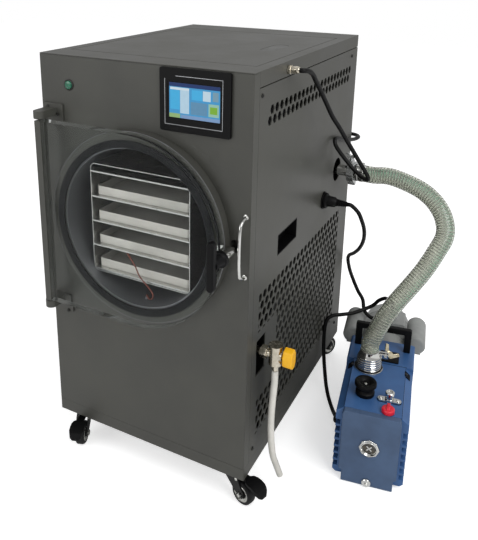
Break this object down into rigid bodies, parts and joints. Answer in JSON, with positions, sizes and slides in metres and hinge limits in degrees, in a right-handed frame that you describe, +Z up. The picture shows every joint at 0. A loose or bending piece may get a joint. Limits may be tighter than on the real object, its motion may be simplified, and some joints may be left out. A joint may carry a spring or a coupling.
{
  "type": "freeze dryer",
  "caption": "Benchtop-height freeze dryer: steel cabinet on casters, clear-doored vacuum chamber with shelves and trays, and a separate rotary vane pump joined by a hose.",
  "frame": {"origin": "centre of the footprint, on the floor, of the cabinet, door and pump together without hoses and cords", "axes": "+Z up, -Y out of the door, +X towards the pump's side"},
  "size_m": [0.7328, 0.7606, 0.872],
  "materials": {
    "cabinet_paint": "semi-matt powder coat",
    "stainless": "brushed",
    "tray_steel": "satin",
    "clear_acrylic": "clear, polished",
    "seal_rubber": "matt",
    "chrome": "polished",
    "black_plastic": "matt",
    "green_lens": "translucent",
    "nickelled_brass": "satin",
    "aluminium": "cast",
    "yellow_plastic": "satin",
    "caster_steel": "black",
    "caster_rubber": "matt",
    "pump_blue": "semi-gloss",
    "motor_grey": "semi-gloss",
    "red_plastic": "gloss",
    "clear_hose": "clear, steel-wire wound",
    "white_hose": "translucent white",
    "cord_black": "matt",
    "probe_wire": "matt"
  },
  "bodies": {
    "cabinet": {"base_pan": "cabinet_paint", "front_panel": "cabinet_paint", "top_cover": "cabinet_paint", "rear_shell": "cabinet_paint", "right_side_panel": "cabinet_paint", "hinge_bracket_top": "cabinet_paint", "hinge_bracket_bottom": "cabinet_paint", "vacuum_chamber": "stainless", "shelf_rack": "stainless", "vacuum_pipe": "stainless", "hose_cuff": "stainless", "tray_1": "tray_steel", "tray_2": "tray_steel", "tray_3": "tray_steel", "tray_4": "tray_steel", "pull_handle": "chrome", "pump_inlet": "chrome", "gas_ballast_valve": "chrome", "touch_panel": "black_plastic", "grip_pocket": "black_plastic", "rear_gland": "black_plastic", "power_socket": "black_plastic", "pump_plug": "black_plastic", "pump_carry_handle": "black_plastic", "exhaust_cap": "black_plastic", "cable_gland": "nickelled_brass", "drain_valve": "nickelled_brass", "kf_clamp": "aluminium", "condenser": "aluminium", "compressor": "caster_steel", "pump_body": "pump_blue", "pump_front_cover": "pump_blue", "pump_motor": "motor_grey", "capacitor_left": "motor_grey", "capacitor_right": "motor_grey", "filler_cap": "red_plastic", "vacuum_hose": "clear_hose", "drain_hose": "white_hose", "sensor_cord": "cord_black", "pump_power_cord": "cord_black", "pump_link_cord": "cord_black", "probe_wire": "probe_wire"},
    "door": {"door_plate": "clear_acrylic", "door_hinge_strip": "cabinet_paint", "door_seal": "seal_rubber", "latch_lug": "chrome"},
    "latch": {"latch_handle": "black_plastic"},
    "button": {"power_button": "green_lens"},
    "valve_lever": {"drain_lever": "yellow_plastic"},
    "fan": {"fan_rotor": "caster_steel"},
    "caster_front_left": {"caster_fork_front_left": "caster_steel"},
    "wheel_front_left": {"caster_wheel_front_left": "caster_rubber"},
    "brake_front_left": {"brake_pedal_front_left": "black_plastic"},
    "caster_front_right": {"caster_fork_front_right": "caster_steel"},
    "wheel_front_right": {"caster_wheel_front_right": "caster_rubber"},
    "brake_front_right": {"brake_pedal_front_right": "black_plastic"},
    "caster_back_left": {"caster_fork_back_left": "caster_steel"},
    "wheel_back_left": {"caster_wheel_back_left": "caster_rubber"},
    "caster_back_right": {"caster_fork_back_right": "caster_steel"},
    "wheel_back_right": {"caster_wheel_back_right": "caster_rubber"}
  },
  "joints": [
    {"name": "door_hinge", "type": "hinge", "parent": "cabinet", "child": "door", "pos_m": [-0.32895, -0.32206, 0.563], "axis": [0, 0, -1], "range_deg": [0, 110]},
    {"name": "latch_turn", "type": "hinge", "parent": "door", "child": "latch", "pos_m": [0.06655, -0.34406, 0.563], "axis": [0, 1, 0], "continuous": true},
    {"name": "button_press", "type": "slide", "parent": "cabinet", "child": "button", "axis": [0, 1, 0], "range_m": [0, 0.002], "stiffness_N_per_m": 800},
    {"name": "drain_lever_turn", "type": "hinge", "parent": "cabinet", "child": "valve_lever", "pos_m": [0.14555, -0.22806, 0.333], "axis": [1, 0, 0], "range_deg": [0, 90]},
    {"name": "fan_spin", "type": "hinge", "parent": "cabinet", "child": "fan", "pos_m": [0.02354, 0.05094, 0.2295], "axis": [1, 0, 0], "continuous": true},
    {"name": "front_left_swivel", "type": "hinge", "parent": "cabinet", "child": "caster_front_left", "pos_m": [-0.31445, -0.25106, 0.064], "axis": [0, 0, 1], "continuous": true},
    {"name": "front_left_roll", "type": "hinge", "parent": "caster_front_left", "child": "wheel_front_left", "pos_m": [-0.30209, -0.28166, 0.025], "axis": [0.9272, 0.3746, 0], "continuous": true},
    {"name": "front_left_brake", "type": "hinge", "parent": "caster_front_left", "child": "brake_front_left", "pos_m": [-0.30584, -0.27239, 0.0565], "axis": [0.9272, 0.3746, 0], "range_deg": [0, 12]},
    {"name": "front_right_swivel", "type": "hinge", "parent": "cabinet", "child": "caster_front_right", "pos_m": [0.05554, -0.25106, 0.064], "axis": [0, 0, 1], "continuous": true},
    {"name": "front_right_roll", "type": "hinge", "parent": "caster_front_right", "child": "wheel_front_right", "pos_m": [0.08693, -0.26126, 0.025], "axis": [0.309, 0.9511, 0], "continuous": true},
    {"name": "front_right_brake", "type": "hinge", "parent": "caster_front_right", "child": "brake_front_right", "pos_m": [0.07742, -0.25817, 0.0565], "axis": [0.309, 0.9511, 0], "range_deg": [0, 12]},
    {"name": "back_left_swivel", "type": "hinge", "parent": "cabinet", "child": "caster_back_left", "pos_m": [-0.31445, 0.28294, 0.064], "axis": [0, 0, 1], "continuous": true},
    {"name": "back_left_roll", "type": "hinge", "parent": "caster_back_left", "child": "wheel_back_left", "pos_m": [-0.32574, 0.31395, 0.025], "axis": [-0.9397, -0.342, 0], "continuous": true},
    {"name": "back_right_swivel", "type": "hinge", "parent": "cabinet", "child": "caster_back_right", "pos_m": [0.05554, 0.28294, 0.064], "axis": [0, 0, 1], "continuous": true},
    {"name": "back_right_roll", "type": "hinge", "parent": "caster_back_right", "child": "wheel_back_right", "pos_m": [0.07104, 0.31207, 0.025], "axis": [-0.8829, 0.4695, 0], "continuous": true}
  ]
}
